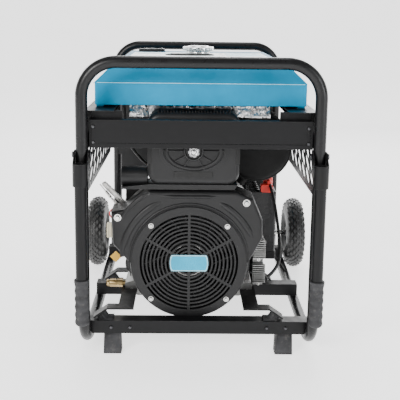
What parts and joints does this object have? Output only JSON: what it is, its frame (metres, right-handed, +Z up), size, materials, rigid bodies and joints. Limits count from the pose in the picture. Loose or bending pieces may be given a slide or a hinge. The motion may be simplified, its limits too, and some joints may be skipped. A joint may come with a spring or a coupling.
{
  "type": "engine driven welder",
  "caption": "Engine driven welder in an open tube frame with a fuel tank on top, fan grille and air cleaner at the front, control panel at the rear, wheels and fold-down handles.",
  "frame": {"origin": "on the ground, under the middle of the machine's box", "axes": "+Z up, -Y towards the engine fan and the folded handles, +Y towards the operator panel, +X to the right seen from the fan"},
  "size_m": [0.802, 1.076, 0.83],
  "materials": {
    "frame_tube": "satin black powder coat",
    "frame_sheet": "matte black powder coat",
    "rubber": "matte",
    "zinc_bolt": "zinc plated",
    "tyre": "matte",
    "rim": "satin",
    "tank_blue": "semi gloss",
    "chrome": "polished",
    "black_plastic": "fine moulded texture",
    "foil": "crumpled",
    "cast_aluminium": "as cast",
    "steel": "machined",
    "muffler_black": "matte heat paint",
    "starter_black": "satin",
    "lamination": "varnished laminations",
    "box_black": "matte",
    "panel_grey": "matte",
    "gloss_black": "gloss",
    "outlet_blue": "gloss",
    "cable": "smooth"
  },
  "bodies": {
    "chassis": {"front_hoop": "frame_tube", "rear_hoop": "frame_tube", "bottom_rails": "frame_tube", "front_base_channel": "frame_sheet", "cross_members": "frame_sheet", "front_cross_panel": "frame_sheet", "left_side_guard": "frame_sheet", "right_side_guard": "frame_sheet", "engine_mount_brackets": "frame_sheet", "front_feet": "rubber", "rubber_isolators": "rubber", "frame_bolts": "zinc_bolt", "wheel_axle": "zinc_bolt", "fuel_tank": "tank_blue", "blower_shroud": "black_plastic", "air_cleaner_cover": "black_plastic", "air_cleaner_base": "black_plastic", "fuel_gauge": "black_plastic", "grille": "black_plastic", "heat_shield": "foil", "crankcase": "cast_aluminium", "left_cylinder": "cast_aluminium", "right_cylinder": "cast_aluminium", "carburettor": "cast_aluminium", "regulator_blocks": "cast_aluminium", "oil_drain_pipe": "steel", "muffler": "muffler_black", "exhaust_pipe": "muffler_black", "starter_motor": "starter_black", "alternator_housing": "starter_black", "stator": "lamination", "control_box": "box_black", "control_panel": "panel_grey", "panel_meter": "gloss_black", "battery": "gloss_black", "welding_sockets": "gloss_black", "power_outlets": "outlet_blue", "fuel_hose": "cable", "engine_wiring": "cable"},
    "left_handle": {"left_handle_tube": "frame_sheet", "left_grip": "rubber"},
    "right_handle": {"right_handle_tube": "frame_sheet", "right_grip": "rubber"},
    "left_wheel": {"left_rim": "rim", "left_tyre": "tyre"},
    "right_wheel": {"right_rim": "rim", "right_tyre": "tyre"},
    "crank": {"crankshaft": "steel", "flywheel_fan": "black_plastic", "alternator_rotor": "lamination"},
    "cap": {"fuel_cap": "chrome"},
    "key": {"ignition_key": "steel"},
    "current_dial": {"current_knob": "gloss_black"},
    "choke": {"choke_knob": "gloss_black"},
    "breaker": {"breaker_switch": "gloss_black"},
    "left_flap": {"left_outlet_cover": "outlet_blue"},
    "right_flap": {"right_outlet_cover": "outlet_blue"},
    "dipstick": {"oil_dipstick": "gloss_black"},
    "filter_knob": {"air_cleaner_knob": "chrome"},
    "throttle": {"throttle_lever": "steel"}
  },
  "joints": [
    {"name": "left_handle_fold", "type": "hinge", "parent": "chassis", "child": "left_handle", "pos_m": [-0.31, -0.48, 0.573], "axis": [-1, 0, 0], "range_deg": [0, 90]},
    {"name": "right_handle_fold", "type": "hinge", "parent": "chassis", "child": "right_handle", "pos_m": [0.31, -0.48, 0.573], "axis": [-1, 0, 0], "range_deg": [0, 90]},
    {"name": "left_wheel_spin", "type": "hinge", "parent": "chassis", "child": "left_wheel", "pos_m": [-0.366, 0.32, 0.128], "axis": [1, 0, 0], "continuous": true},
    {"name": "right_wheel_spin", "type": "hinge", "parent": "chassis", "child": "right_wheel", "pos_m": [0.366, 0.32, 0.128], "axis": [1, 0, 0], "continuous": true},
    {"name": "crank_spin", "type": "hinge", "parent": "chassis", "child": "crank", "pos_m": [-0.028, -0.1, 0.25], "axis": [0, 1, 0], "continuous": true},
    {"name": "cap_turn", "type": "hinge", "parent": "chassis", "child": "cap", "pos_m": [0, 0.205, 0.811], "axis": [0, 0, 1], "range_deg": [0, 90]},
    {"name": "key_turn", "type": "hinge", "parent": "chassis", "child": "key", "pos_m": [-0.24, 0.496, 0.59], "axis": [0, 1, 0], "range_deg": [0, 90]},
    {"name": "current_turn", "type": "hinge", "parent": "chassis", "child": "current_dial", "pos_m": [0.17, 0.496, 0.53], "axis": [0, 1, 0], "range_deg": [-135, 135]},
    {"name": "choke_pull", "type": "slide", "parent": "chassis", "child": "choke", "axis": [0, 1, 0], "range_m": [0, 0.03]},
    {"name": "breaker_flip", "type": "hinge", "parent": "chassis", "child": "breaker", "pos_m": [0.02, 0.494, 0.59], "axis": [1, 0, 0], "range_deg": [0, 20]},
    {"name": "left_flap_open", "type": "hinge", "parent": "chassis", "child": "left_flap", "pos_m": [-0.15, 0.508, 0.479], "axis": [1, 0, 0], "range_deg": [0, 110]},
    {"name": "right_flap_open", "type": "hinge", "parent": "chassis", "child": "right_flap", "pos_m": [-0.04, 0.508, 0.479], "axis": [1, 0, 0], "range_deg": [0, 110]},
    {"name": "dipstick_pull", "type": "slide", "parent": "chassis", "child": "dipstick", "axis": [0, 0, 1], "range_m": [0, 0.06]},
    {"name": "filter_knob_turn", "type": "hinge", "parent": "chassis", "child": "filter_knob", "pos_m": [-0.018, -0.396, 0.568], "axis": [0, 1, 0], "continuous": true},
    {"name": "throttle_swing", "type": "hinge", "parent": "chassis", "child": "throttle", "pos_m": [-0.196, -0.288, 0.372], "axis": [0, 1, 0], "range_deg": [-12, 12], "stiffness_Nm_per_rad": 0.6}
  ]
}
